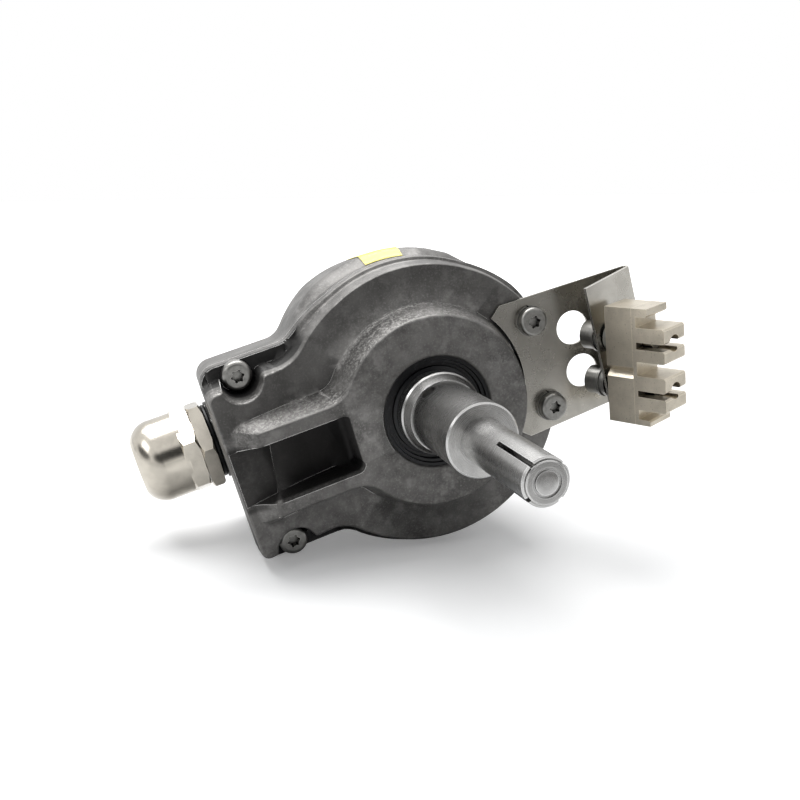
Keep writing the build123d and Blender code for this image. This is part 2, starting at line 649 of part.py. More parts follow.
LIGHT_SECTION = Plane(origin=BOSS_CENTRE, x_dir=V, z_dir=-U)      # x is V, y is the way back
with BuildPart() as light_source:
    with BuildSketch(LIGHT_SECTION):
        with BuildLine():
            Polyline((LIGHT_ARM, BOARD_D), (LIGHT_TO, BOARD_D), (LIGHT_TO, HUB_BACK + 0.5),
                     (LIGHT_FROM, HUB_BACK + 0.5), (LIGHT_FROM, DISC_D - 0.8), (LIGHT_ARM, DISC_D - 0.8),
                     close=True)
        make_face()
    extrude(amount=LIGHT_HALF, both=True)
light_source.part.label = "light_source"
export_step(light_source.part, "parts/light_source.step")

with BuildPart() as board_screws:
    board_places = [
        (BOARD_POST_AT * cos(radians(angle)), BOARD_POST_AT * sin(radians(angle)))
        for angle in (60, 180, 300)]
    with BuildSketch(at_depth(BOARD_D + BOARD_T)):
        with Locations(*board_places):
            Circle(M3_SHANK)
    extrude(amount=8 + BOARD_T)
    with BuildSketch(at_depth(BOARD_D + BOARD_T)):
        with Locations(*board_places):
            Circle(M3_HEAD_R)
    extrude(amount=-1.8)
board_screws.part.label = "board_screws"
export_step(board_screws.part, "parts/board_screws.step")

# Terminal board on its two posts, terminal block behind it
BLOCK_FRONT = TERMINAL_BOARD_D + BOARD_T
TERMINALS = 5
with BuildPart() as terminal_board:
    with BuildSketch(at_depth(BLOCK_FRONT)):
        with Locations((-44, 0)):
            RectangleRounded(21, 31, 2)
        with Locations(*TERMINAL_POSTS):
            Circle(M3_HOLE + 0.3, mode=Mode.SUBTRACT)
    extrude(amount=BOARD_T)
terminal_board.part.label = "terminal_board"
export_step(terminal_board.part, "parts/terminal_board.step")

with BuildPart() as terminal_block:
    with BuildSketch(at_depth(BLOCK_FRONT)):
        with Locations((-39.5, 0)):
            Rectangle(11, 24)
    extrude(amount=-9)
    with BuildSketch(at_depth(BLOCK_FRONT + 9)):
        with Locations((-41.5, 0)):
            with GridLocations(0, 4.6, 1, TERMINALS):
                Circle(1.5)
    extrude(amount=4, mode=Mode.SUBTRACT)
terminal_block.part.label = "terminal_block"
export_step(terminal_block.part, "parts/terminal_block.step")

with BuildPart() as terminal_screws:
    with BuildSketch(at_depth(BLOCK_FRONT)):
        with Locations(*TERMINAL_POSTS):
            Circle(M3_SHANK)
    extrude(amount=6 + BOARD_T)
    with BuildSketch(at_depth(BLOCK_FRONT)):
        with Locations(*TERMINAL_POSTS):
            Circle(M3_HEAD_R)
    extrude(amount=-1.8)
terminal_screws.part.label = "terminal_screws"
export_step(terminal_screws.part, "parts/terminal_screws.step")

# Cable gland on the terminal box, lengths are counted outward from the box's pad
GLAND_IN = 7.0
GLAND_NECK = 1.6
GLAND_HEX = 4.0
GLAND_MALE_R = 8.8
GLAND_MALE_END = 15.0
CAP_START = GLAND_NECK + GLAND_HEX + 0.3
CAP_HEX_END = CAP_START + 4.9
CAP_END = 24.5
CAP_MOUTH_R = 7.5
INSERT_END = 20.5


def gland_profile(points):
    """Closed half section about the gland's axis, from (radius, outward) corners."""
    with BuildSketch(GLAND_SECTION) as profile:
        with BuildLine():
            Polyline(*points, close=True)
        make_face()
    return profile.sketch


def gland_hexagon(front, back, turn):
    """Hexagon with bevelled corners, across flats GLAND_AF."""
    corner = GLAND_AF / sqrt(3)
    with BuildPart() as hexagon:
        with BuildSketch(GLAND_END.offset(front)):
            RegularPolygon(GLAND_AF / 2, 6, major_radius=False, rotation=turn)
        extrude(amount=back - front)
        add(gland_profile([
            (0, front), (corner - 1.2, front), (corner, front + 0.7), (corner, back - 0.7),
            (corner - 1.2, back), (0, back)]))
        revolve(axis=GLAND_AXIS, mode=Mode.INTERSECT)
    return hexagon.part


with BuildPart() as gland_body:
    add(gland_profile([
        (0, -GLAND_IN), (GLAND_THREAD_R - 0.5, -GLAND_IN), (GLAND_THREAD_R, -GLAND_IN + 0.5),
        (GLAND_THREAD_R, GLAND_NECK),
        (GLAND_MALE_R, GLAND_NECK), (GLAND_MALE_R, GLAND_MALE_END), (0, GLAND_MALE_END)]))
    revolve(axis=GLAND_AXIS)
    add(gland_hexagon(GLAND_NECK, GLAND_NECK + GLAND_HEX, 8))
    add(gland_profile([
        (0, -GLAND_IN - 1), (CABLE_R + 0.5, -GLAND_IN - 1), (CABLE_R + 0.5, GLAND_MALE_END - 4),
        (7.6, GLAND_MALE_END - 4),
        (7.6, GLAND_MALE_END + 1), (0, GLAND_MALE_END + 1)]))
    revolve(axis=GLAND_AXIS, mode=Mode.SUBTRACT)
gland_body.part.label = "gland_body"
export_step(gland_body.part, "parts/gland_body.step")

with BuildPart() as gland_o_ring:
    add(gland_profile([
        (GLAND_THREAD_R + RUNNING, 0), (11.2, 0), (11.6, 0.5), (11.6, O_RING_W - 0.5),
        (11.2, O_RING_W), (GLAND_THREAD_R + RUNNING, O_RING_W)]))
    revolve(axis=GLAND_AXIS)
gland_o_ring.part.label = "gland_o_ring"
export_step(gland_o_ring.part, "parts/gland_o_ring.step")

with BuildPart() as gland_cap_nut:
    add(gland_hexagon(CAP_START, CAP_HEX_END, 23))
    with BuildSketch(GLAND_SECTION):
        with BuildLine():
            side = Line((GLAND_DOME_R, CAP_HEX_END - 1), (GLAND_DOME_R, CAP_END - 7.5))
            crown = ThreePointArc(
                side @ 1, (GLAND_DOME_R - 1.1, CAP_END - 2.8), (CAP_MOUTH_R + 0.8, CAP_END))
            Polyline(crown @ 1, (0, CAP_END), (0, CAP_HEX_END - 1), side @ 0)
        make_face()
    revolve(axis=GLAND_AXIS)
    add(gland_profile([
        (0, CAP_START - 1), (GLAND_MALE_R + RUNNING, CAP_START - 1), (GLAND_MALE_R + RUNNING, INSERT_END),
        (CAP_MOUTH_R, INSERT_END + 1.2), (CAP_MOUTH_R, CAP_END - 0.6), (CAP_MOUTH_R + 0.5, CAP_END + 0.1),
        (0, CAP_END + 0.1)]))
    revolve(axis=GLAND_AXIS, mode=Mode.SUBTRACT)
gland_cap_nut.part.label = "gland_cap_nut"
export_step(gland_cap_nut.part, "parts/gland_cap_nut.step")

with BuildPart() as gland_insert:
    add(gland_profile([
        (CABLE_R, GLAND_MALE_END - 3.9), (7.5, GLAND_MALE_END - 3.9), (7.5, GLAND_MALE_END + RUNNING),
        (GLAND_MALE_R - 0.1, GLAND_MALE_END + RUNNING), (GLAND_MALE_R - 0.1, INSERT_END - 1),
        (7.6, INSERT_END + 0.6),
        (CABLE_R + 0.4, INSERT_END + 0.6), (CABLE_R, INSERT_END + 0.2)]))
    revolve(axis=GLAND_AXIS)
gland_insert.part.label = "gland_insert"
export_step(gland_insert.part, "parts/gland_insert.step")

# Clamp block directions: square to the flap, then turned and tilted a little on its two screws
lean_n = U * sin(radians(FLAP_ANGLE)) - BACK * cos(radians(FLAP_ANGLE))
lean_e = U * cos(radians(FLAP_ANGLE)) + BACK * sin(radians(FLAP_ANGLE))
turned_v = V * cos(radians(BLOCK_TURN)) + lean_e * sin(radians(BLOCK_TURN))
turned_e = lean_e * cos(radians(BLOCK_TURN)) - V * sin(radians(BLOCK_TURN))
block_n = lean_n * cos(radians(BLOCK_TILT)) - turned_v * sin(radians(BLOCK_TILT))
block_v = turned_v * cos(radians(BLOCK_TILT)) + lean_n * sin(radians(BLOCK_TILT))
BLOCK_ORIGIN = body_point(BLOCK_U, BLOCK_V, BLOCK_D)
BLOCK = Plane(origin=BLOCK_ORIGIN, x_dir=turned_e, z_dir=block_n)              # back of the clamp block
BLOCK_SIDE = Plane(origin=BLOCK_ORIGIN, x_dir=block_v, z_dir=turned_e)         # its left side
CLAMP_SCREWS = [(BLOCK_W / 2, CLAMP_PITCH), (BLOCK_W / 2, -CLAMP_PITCH)]


def flap_front(side):
    """Where the flap's front face crosses a clamp screw's axis, along the block's normal."""
    to_bend = body_point(BEND_U, 0, FACE_D - SHEET_T - BEND_R) - BLOCK_ORIGIN
    reach = to_bend.dot(lean_n) + BEND_R + SHEET_T
    return (reach - side * sin(radians(BLOCK_TILT))) / cos(radians(BLOCK_TILT))


# Torque bracket: one bent sheet, its plan cut from the bent profile
PLATE_U = 24.0
PLATE_TAPER_U = 28.5
PLATE_MARGIN = 3.0
FLAP_HOLE_R = 3.1
with BuildPart() as torque_bracket:
    with BuildSketch(SIDE):
        with BuildLine():
            plate = Line((PLATE_U, -FACE_D + SHEET_T), (BEND_U, -FACE_D + SHEET_T))
            bend = JernArc(plate @ 1, plate % 1, BEND_R, 180 - FLAP_ANGLE)
            Line(bend @ 1, bend @ 1 + (bend % 1) * FLAP_L)
            offset(amount=SHEET_T, side=Side.RIGHT)
        make_face()
    extrude(amount=PLATE_LEFT_HALF + 1, both=True)
    with BuildSketch(at_depth(FACE_D + 1)):
        with BuildLine():
            Polyline((PLATE_U, 0), (PLATE_U, 17), (PLATE_TAPER_U, PLATE_LEFT_HALF),
                     (BEND_U + PLATE_MARGIN, PLATE_RIGHT_HALF), (BEND_U + PLATE_MARGIN, 0))
            mirror(about=Plane.XZ)
        make_face()
        Circle(PLATE_CUT_R, mode=Mode.SUBTRACT)
    extrude(amount=FACE_D + 12, mode=Mode.INTERSECT)
    with BuildSketch(at_depth(FACE_D + 1)):
        with Locations((ACCESS[0], ACCESS[1]), (ACCESS[0], -ACCESS[1])):
            Circle(ACCESS_R)
        with Locations(*BRACKET_SCREWS):
            Circle(M5_CLEAR)
    extrude(amount=2 + SHEET_T, mode=Mode.SUBTRACT)
    with BuildSketch(BLOCK.offset(1)):
        with Locations(*CLAMP_SCREWS):
            Circle(FLAP_HOLE_R)
    extrude(amount=-7, mode=Mode.SUBTRACT)
torque_bracket.part.label = "torque_bracket"
export_step(torque_bracket.part, "parts/torque_bracket.step")

# Clamp block: base plate with a notch, and the comb of jaws that grips the arm
NOTCH = 1.6
with BuildPart() as clamp_base:
    with BuildSketch(BLOCK):
        with Locations((BLOCK_W / 2, 0)):
            Rectangle(BLOCK_W, 2 * BLOCK_HALF)
        with Locations((0, -1.8)):
            RegularPolygon(NOTCH, 4, mode=Mode.SUBTRACT)
        with Locations(*CLAMP_SCREWS):
            Circle(M5_CLEAR, mode=Mode.SUBTRACT)
    extrude(amount=BASE_T)
    chamfer(clamp_base.edges().filter_by(lambda e: e.length > 1.5 * BLOCK_HALF), 0.35)
clamp_base.part.label = "clamp_base"
export_step(clamp_base.part, "parts/clamp_base.step")

JAWS = [(11.7, 7.4), (5.4, 1.7), (-2.4, -6.8), (-8.6, -12.6)]
TABS = [(BLOCK_HALF, 14.7), (-15.4, -BLOCK_HALF)]
with BuildPart() as clamp_jaws:
    with BuildSketch(BLOCK_SIDE):
        with Locations((0, BASE_T + WEB_T / 2)):
            Rectangle(2 * BLOCK_HALF, WEB_T)
        for fingers, top in ((JAWS, JAW_N), (TABS, TAB_N)):
            for high, low in fingers:
                with Locations(((high + low) / 2, (BASE_T + top) / 2)):
                    jaw = Rectangle(high - low, top - BASE_T)
                    chamfer(jaw.vertices().group_by(Axis.Y)[-1], 0.5)
    extrude(amount=BLOCK_W)
    with BuildSketch(BLOCK.offset(JAW_N + 1)):
        with Locations(*CLAMP_SCREWS):
            Circle(THREAD_R)
    extrude(amount=BASE_T - JAW_N - 2, mode=Mode.SUBTRACT)
clamp_jaws.part.label = "clamp_jaws"
export_step(clamp_jaws.part, "parts/clamp_jaws.step")

# Clamp screws from behind the flap, with their washers, and a spacer each between flap and block
CLAMP_HEAD_H = 4.2
CLAMP_SEATS = [-5.8, -5.0]
CLAMP_SCREW_END = 13.5
WASHERS = [(4.8, 0.3), (4.3, 0.4), (4.6, 0.3)]      # radius, share of the stack
SLACK = M5_HEAD_R * 2.1 * tan(radians(BLOCK_TILT)) / 2 + RUNNING
with BuildPart() as clamp_screws:
    for (x, y), seat in zip(CLAMP_SCREWS, CLAMP_SEATS):
        with BuildSketch(BLOCK.offset(seat)):
            with Locations((x, y)):
                Circle(M5_SHANK)
        extrude(amount=CLAMP_SCREW_END - seat)
        with BuildSketch(BLOCK.offset(seat)):
            with Locations((x, y)):
                Circle(M5_HEAD_R)
        extrude(amount=-CLAMP_HEAD_H)
        with BuildSketch(BLOCK.offset(seat - CLAMP_HEAD_H)):
            with Locations((x, y)):
                RegularPolygon(2.0, 6, major_radius=False)
        extrude(amount=0.5 * CLAMP_HEAD_H, mode=Mode.SUBTRACT)
clamp_screws.part.label = "clamp_screws"
export_step(clamp_screws.part, "parts/clamp_screws.step")

with BuildPart() as clamp_washers:
    for (x, y), seat in zip(CLAMP_SCREWS, CLAMP_SEATS):
        stack = flap_front(y) - SHEET_T - SLACK - seat
        start = seat
        for radius, share in WASHERS:
            with BuildSketch(BLOCK.offset(start)):
                with Locations((x, y)):
                    Circle(radius)
                    Circle(THREAD_R, mode=Mode.SUBTRACT)
            extrude(amount=share * stack)
            start += share * stack
clamp_washers.part.label = "clamp_washers"
export_step(clamp_washers.part, "parts/clamp_washers.step")

SPACER_R = 4.2
with BuildPart() as clamp_spacers:
    for x, y in CLAMP_SCREWS:
        with BuildSketch(BLOCK):
            with Locations((x, y)):
                Circle(SPACER_R)
                Circle(THREAD_R, mode=Mode.SUBTRACT)
        extrude(amount=flap_front(y) + SLACK)
clamp_spacers.part.label = "clamp_spacers"
export_step(clamp_spacers.part, "parts/clamp_spacers.step")
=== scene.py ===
"""Incremental rotary encoder: finishes, fine detail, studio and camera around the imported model.

Metres, in the model's own frame: the shaft runs along Y with its tip toward -Y, +Z is up.
"""

import json
from math import atan2, cos, hypot, pi, radians, sin

import bmesh
import bpy
from mathutils import Matrix, Vector


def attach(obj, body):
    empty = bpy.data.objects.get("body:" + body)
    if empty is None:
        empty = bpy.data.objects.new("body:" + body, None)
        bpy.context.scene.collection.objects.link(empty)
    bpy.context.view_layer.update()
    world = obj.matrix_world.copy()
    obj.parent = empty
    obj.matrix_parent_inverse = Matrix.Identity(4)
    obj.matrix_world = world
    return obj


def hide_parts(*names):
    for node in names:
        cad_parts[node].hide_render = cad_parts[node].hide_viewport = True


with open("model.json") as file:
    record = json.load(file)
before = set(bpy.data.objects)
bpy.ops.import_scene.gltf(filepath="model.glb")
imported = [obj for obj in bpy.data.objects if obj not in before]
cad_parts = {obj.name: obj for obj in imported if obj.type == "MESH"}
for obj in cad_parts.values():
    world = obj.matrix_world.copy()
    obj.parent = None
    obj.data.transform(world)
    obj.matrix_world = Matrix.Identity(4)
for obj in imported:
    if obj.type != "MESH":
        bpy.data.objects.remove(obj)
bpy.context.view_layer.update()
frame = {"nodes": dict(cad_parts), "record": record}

MM = 0.001

# The body's own directions and the main sizes, as in the model
LEAN = radians(16.3)
U = Vector((cos(LEAN), 0, sin(LEAN)))
V = Vector((-sin(LEAN), 0, cos(LEAN)))
BACK = Vector((0, 1, 0))
FRONT = (0, -1, 0)
UP = (0, 0, 1)
SHAFT_L = 31.9 * MM
FLOOR_Z = -44.2 * MM


# Node helpers
class Surface:
    """A procedural material under construction: coordinates, masks and the main shader."""

    def __init__(self, name):
        self.material = bpy.data.materials.new(name)
        self.material.use_nodes = True
        self.tree = self.material.node_tree
        self.shader = self.tree.nodes["Principled BSDF"]
        self.coordinates = self.tree.nodes.new("ShaderNodeTexCoord")
        self.normal = None

    def node(self, kind, **values):
        """New node with its own properties set."""
        made = self.tree.nodes.new(kind)
        for name, value in values.items():
            setattr(made, name, value)
        return made

    def link(self, source, target):
        self.tree.links.new(source, target)

    def place(self, scale=(1, 1, 1), turn=(0, 0, 0)):
        """Object coordinates, turned and stretched."""
        mapping = self.node("ShaderNodeMapping")
        mapping.inputs["Scale"].default_value = scale
        mapping.inputs["Rotation"].default_value = turn
        self.link(self.coordinates.outputs["Object"], mapping.inputs["Vector"])
        return mapping.outputs["Vector"]

    def noise(self, size, detail=4, rough=0.6, stretch=(1, 1, 1), turn=(0, 0, 0)):
        """Noise whose features are about size millimetres wide."""
        made = self.node("ShaderNodeTexNoise")
        made.inputs["Scale"].default_value = 1 / (size * MM)
        made.inputs["Detail"].default_value = detail
        made.inputs["Roughness"].default_value = rough
        self.link(self.place(stretch, turn), made.inputs["Vector"])
        return made.outputs["Fac"]

    def math(self, operation, first, second=0.0):
        """One math node on sockets or numbers."""
        made = self.node("ShaderNodeMath", operation=operation)
        for index, value in enumerate((first, second)):
            if isinstance(value, (int, float)):
                made.inputs[index].default_value = value
            else:
                self.link(value, made.inputs[index])
        return made.outputs[0]

    def times(self, first, second):
        """Product of two masks or numbers."""
        return self.math("MULTIPLY", first, second)

    def inverse(self, mask):
        """1 where the mask is 0, and 0 where it is 1."""
        return self.math("SUBTRACT", 1.0, mask)

    def band(self, value, low, high):
        """0 below low, 1 above high, smooth between."""
        made = self.node("ShaderNodeMapRange", interpolation_type="SMOOTHSTEP")
        made.inputs["From Min"].default_value = low
        made.inputs["From Max"].default_value = high
        self.link(value, made.inputs["Value"])
        return made.outputs["Result"]

    def range(self, value, low, high):
        """A 0 to 1 value spread from low to high."""
        made = self.node("ShaderNodeMapRange")
        made.inputs["To Min"].default_value = low
        made.inputs["To Max"].default_value = high
        self.link(value, made.inputs["Value"])
        return made.outputs["Result"]

    def mix(self, share, first, second):
        """Mix of two colours, each a triple or a socket."""
        made = self.node("ShaderNodeMix", data_type="RGBA")
        self.link(share, made.inputs["Factor"])
        for socket, value in ((made.inputs[6], first), (made.inputs[7], second)):
            if isinstance(value, tuple):
                socket.default_value = (*value, 1)
            else:
                self.link(value, socket)
        return made.outputs[2]

    def axis(self, direction):
        """Distance along a direction, in metres, of the surface point."""
        made = self.node("ShaderNodeVectorMath", operation="DOT_PRODUCT")
        made.inputs[1].default_value = direction
        self.link(self.coordinates.outputs["Object"], made.inputs[0])
        return made.outputs["Value"]

    def radius(self):
        """Distance from the shaft's axis, in metres."""
        flat = self.node("ShaderNodeVectorMath", operation="MULTIPLY")
        flat.inputs[1].default_value = (1, 0, 1)
        self.link(self.coordinates.outputs["Object"], flat.inputs[0])
        length = self.node("ShaderNodeVectorMath", operation="LENGTH")
        self.link(flat.outputs["Vector"], length.inputs[0])
        return length.outputs["Value"]

    def distance(self):
        """Distance from the piece's own origin, in its own units."""
        length = self.node("ShaderNodeVectorMath", operation="LENGTH")
        self.link(self.coordinates.outputs["Object"], length.inputs[0])
        return length.outputs["Value"]

    def within(self, value, low, high, soft):
        """1 between low and high millimetres, smooth over soft millimetres outside them."""
        rise = self.band(value, (low - soft) * MM, low * MM)
        fall = self.inverse(self.band(value, high * MM, (high + soft) * MM))
        return self.times(rise, fall)

    def recess(self, reach, low, high):
        """1 deep in a recess, 0 on open faces, from how open the surface is within reach millimetres."""
        openness = self.node("ShaderNodeAmbientOcclusion", samples=8)
        openness.inputs["Distance"].default_value = reach * MM
        return self.inverse(self.band(openness.outputs["AO"], low, high))

    def facing(self, direction):
        """How squarely the surface looks along a direction, -1 to 1."""
        geometry = self.node("ShaderNodeNewGeometry")
        dot = self.node("ShaderNodeVectorMath", operation="DOT_PRODUCT")
        dot.inputs[1].default_value = direction
        self.link(geometry.outputs["Normal"], dot.inputs[0])
        return dot.outputs["Value"]

    def edges(self, width, low=0.004, high=0.05):
        """1 on convex and concave edges, from how far a rounded normal leaves the true one."""
        bevel = self.node("ShaderNodeBevel", samples=6)
        bevel.inputs["Radius"].default_value = width * MM
        geometry = self.node("ShaderNodeNewGeometry")
        dot = self.node("ShaderNodeVectorMath", operation="DOT_PRODUCT")
        self.link(bevel.outputs["Normal"], dot.inputs[0])
        self.link(geometry.outputs["Normal"], dot.inputs[1])
        return self.band(self.inverse(dot.outputs["Value"]), low, high)

    def bump(self, height, depth, strength=1.0):
        """Adds a bump of depth millimetres."""
        made = self.node("ShaderNodeBump")
        made.inputs["Strength"].default_value = strength
        made.inputs["Distance"].default_value = depth * MM
        self.link(height, made.inputs["Height"])
        if self.normal is not None:
            self.link(self.normal, made.inputs["Normal"])
        self.normal = made.outputs["Normal"]

    def finish(self, colour, rough, metallic=0.0, **plain):
        """Connects colour and roughness, sets the plain values on the shader's sockets."""
        for socket, value in (("Base Color", colour), ("Roughness", rough)):
            if isinstance(value, tuple):
                self.shader.inputs[socket].default_value = (*value, 1)
            elif isinstance(value, (int, float)):
                self.shader.inputs[socket].default_value = value
            else:
                self.link(value, self.shader.inputs[socket])
        self.shader.inputs["Metallic"].default_value = metallic
        for name, value in plain.items():
            self.shader.inputs[name].default_value = value
        if self.normal is not None:
            self.link(self.normal, self.shader.inputs["Normal"])
        return self.material


# Finishes
def cast_metal():
    """Die-cast aluminium: dark blotched skin, grainy drafted sides that are lighter where they face up as
    painted light from above, bright edges partly from wear and partly a painted highlight, and painted
    shade in recesses.
    """
    s = Surface("cast_metal")
    blotches = s.noise(16, 6, 0.62)
    grain = s.noise(0.6, 3, 0.75)
    flow = s.noise(5, 5, 0.7, (1, 0.5, 1))
    depth = s.math("SUBTRACT", s.axis(BACK), SHAFT_L)
    along = s.axis(U)
    across = s.axis(V)
    dark = s.mix(s.band(blotches, 0.38, 0.64), (0.100, 0.097, 0.093), (0.185, 0.180, 0.173))
    streaked = s.mix(s.band(flow, 0.45, 0.75), dark, (0.245, 0.238, 0.230))
    grains = s.times(s.band(grain, 0.50, 0.70), 0.45)
    speckled = s.mix(grains, streaked, (0.310, 0.303, 0.293))
    flat = s.band(s.facing(FRONT), 0.80, 0.94)
    side = s.times(s.within(depth, 1.0, 8.8, 0.6), s.inverse(flat))
    # Painted light from above: the grains on the drafted sides are lighter where the surface faces up
    painted_top_light = s.range(s.band(s.facing(UP), 0.0, 0.8), 0.35, 1.0)
    crystals = s.noise(0.9, 2, 0.8)
    grains_and_top_light = s.times(s.times(side, painted_top_light), s.band(crystals, 0.44, 0.64))
    skin = s.mix(grains_and_top_light, speckled, (0.330, 0.322, 0.310))

    # The box side is darker; painted shade darkens the ring's upper face and makes the pocket and the
    # screw recesses nearly black
    ring_face_shade = s.times(s.band(depth, 3 * MM, 5 * MM), s.band(across, -5 * MM, 28 * MM))
    high = s.times(flat, ring_face_shade)
    with_ring_shade = s.mix(s.times(high, 0.40), skin, (0.050, 0.048, 0.046))
    box = s.inverse(s.band(along, -36 * MM, -24 * MM))
    boxed = s.mix(s.times(box, 0.22), with_ring_shade, (0.050, 0.048, 0.046))
    pocket = s.times(s.within(across, -9.5, 8.5, 1.5), s.within(depth, 3.5, 14.0, 2.0))
    shaded = s.times(pocket, s.range(s.band(along, -62 * MM, -38 * MM), 0.55, 0.95))
    with_pocket_shade = s.mix(shaded, boxed, (0.012, 0.011, 0.011))
    outer = s.math("ABSOLUTE", across)
    seat = s.times(s.within(along, -60.0, -30.0, 3.0), s.band(outer, 17 * MM, 20 * MM))
    seat_shade = s.times(seat, s.within(depth, 11.5, 17.2, 1.0))
    with_painted_shade = s.mix(s.times(seat_shade, 0.80), with_pocket_shade, (0.010, 0.010, 0.010))
    # Painted shade: nearly black where the surface is closed in within 9 mm
    recess_shade = s.recess(9, 0.25, 0.85)
    deep = s.mix(s.times(recess_shade, 0.75), with_painted_shade, (0.020, 0.020, 0.021))
    # Bright edges, partly wear and partly a painted highlight
    wear_and_edge_highlight = s.times(s.edges(0.40, 0.03, 0.12), s.band(s.noise(2.2, 4, 0.7), 0.26, 0.48))
    colour = s.mix(wear_and_edge_highlight, deep, (0.78, 0.77, 0.75))
    s.bump(grain, 0.045)
    s.bump(s.times(side, crystals), 0.12)
    return s.finish(colour, s.range(blotches, 0.40, 0.60), 0.75)


def turned_steel(name, colour, rough, lines=0.12):
    """Turned metal with fine rings about the shaft's axis, a painted highlight on its edges and painted
    shade in its recesses.
    """
    s = Surface(name)
    along = s.math("ADD", s.axis(BACK), s.radius())
    rings = s.node("ShaderNodeTexNoise", noise_dimensions="1D")
    rings.inputs["Scale"].default_value = 1 / (lines * MM)
    rings.inputs["Detail"].default_value = 3
    s.link(along, rings.inputs["W"])
    stains = s.noise(7, 5, 0.6)
    tint = s.mix(s.band(stains, 0.35, 0.75), colour, tuple(0.8 * c for c in colour))
    # Painted highlight on the edges
    edge_highlighted = s.mix(s.edges(0.3), tint, (0.88, 0.88, 0.87))
    # Painted shade in small recesses
    recess_shade = s.recess(1.2, 0.25, 0.75)
    bright = s.mix(s.times(recess_shade, 0.85), edge_highlighted, (0.030, 0.030, 0.030))
    s.bump(rings.outputs["Fac"], 0.004)
    halves = s.math("ADD", s.times(stains, 0.5), s.times(rings.outputs["Fac"], 0.5))
    return s.finish(bright, s.range(halves, rough - 0.08, rough + 0.10), 1.0)


def sheet_steel():
    """Satin stainless sheet with fine rolling lines, a slightly wavy face, a painted reflection that
    darkens the upper left and a painted highlight on its edges.
    """
    s = Surface("sheet_steel")
    rolled = s.noise(0.25, 3, 0.6, (0.04, 1, 1), (0, LEAN, 0))
    waves = s.noise(14, 2, 0.4)
    patina = s.noise(9, 4, 0.6)
    colour = s.mix(s.band(patina, 0.35, 0.7), (0.560, 0.540, 0.495), (0.450, 0.432, 0.390))
    # Painted reflection: darker toward the upper left, in bands that follow the waves
    slope = s.math("ADD", s.axis(tuple(0.45 * V)), s.axis(tuple(-0.9 * U)))
    wavy = s.math("ADD", slope, s.times(s.math("SUBTRACT", waves, 0.5), 14 * MM))
    shade = s.band(wavy, -47 * MM, -33 * MM)
    with_painted_shade = s.mix(s.times(shade, 0.45), colour, (0.200, 0.192, 0.172))
    # Painted highlight on the edges
    bright = s.mix(s.edges(0.2), with_painted_shade, (0.86, 0.84, 0.78))
    s.bump(rolled, 0.002)
    s.bump(waves, 0.12)
    return s.finish(bright, s.range(patina, 0.20, 0.34), 1.0)


def plated(name, colour, rough, pits):
    """Nickel plating over a casting: warm, faintly pitted, with a painted highlight on its edges."""
    s = Surface(name)
    clouds = s.noise(6, 4, 0.6)
    pores = s.noise(0.5, 3, 0.8)
    # Painted highlight on the edges
    edge_highlight = s.edges(0.35)
    shade = s.mix(s.band(clouds, 0.35, 0.7), colour, tuple(0.82 * c for c in colour))
    bright = s.mix(edge_highlight, shade, tuple(min(1.0, 1.2 * c) for c in colour))
    spots = s.times(s.inverse(s.band(pores, 0.30, 0.38)), pits)
    dotted = s.mix(spots, bright, (0.16, 0.14, 0.12))
    s.bump(pores, 0.03 * pits + 0.002)
    return s.finish(dotted, s.range(clouds, rough - 0.05, rough + 0.09), 1.0)


def plain_metal(name, colour, rough, stain=0.75):
    """Zinc or spring steel with small stains, a painted highlight on its edges and painted shade in its
    recesses.
    """
    s = Surface(name)
    stains = s.noise(1.6, 4, 0.7)
    shade = s.mix(s.band(stains, 0.38, 0.68), colour, tuple(stain * c for c in colour))
    # Painted highlight on the edges
    edge_highlighted = s.mix(s.edges(0.2), shade, tuple(min(1.0, 1.8 * c) for c in colour))
    # Painted shade in recesses
    recess_shade = s.recess(1.6, 0.30, 0.80)
    bright = s.mix(s.times(recess_shade, 0.9), edge_highlighted, (0.015, 0.015, 0.015))
    s.bump(stains, 0.01)
    return s.finish(bright, s.range(stains, rough - 0.06, rough + 0.10), 1.0)


def rubber(name, colour, rough):
    """Black rubber with faint dust."""
    s = Surface(name)
    dust = s.noise(2.5, 5, 0.7)
    shade = s.mix(s.band(dust, 0.55, 0.8), colour, (0.045, 0.047, 0.050))
    s.bump(dust, 0.01)
    return s.finish(shade, s.range(dust, rough, rough + 0.15), 0.0, **{"Specular IOR Level": 0.3})


def plastic(name, colour, rough):
    """Moulded plastic with a fine grain."""
    s = Surface(name)
    grain = s.noise(0.4, 2, 0.5)
    shade = s.mix(s.band(s.noise(5, 3, 0.5), 0.4, 0.7), colour, tuple(0.85 * c for c in colour))
    s.bump(grain, 0.008)
    return s.finish(shade, s.range(grain, rough - 0.05, rough + 0.05), 0.0)


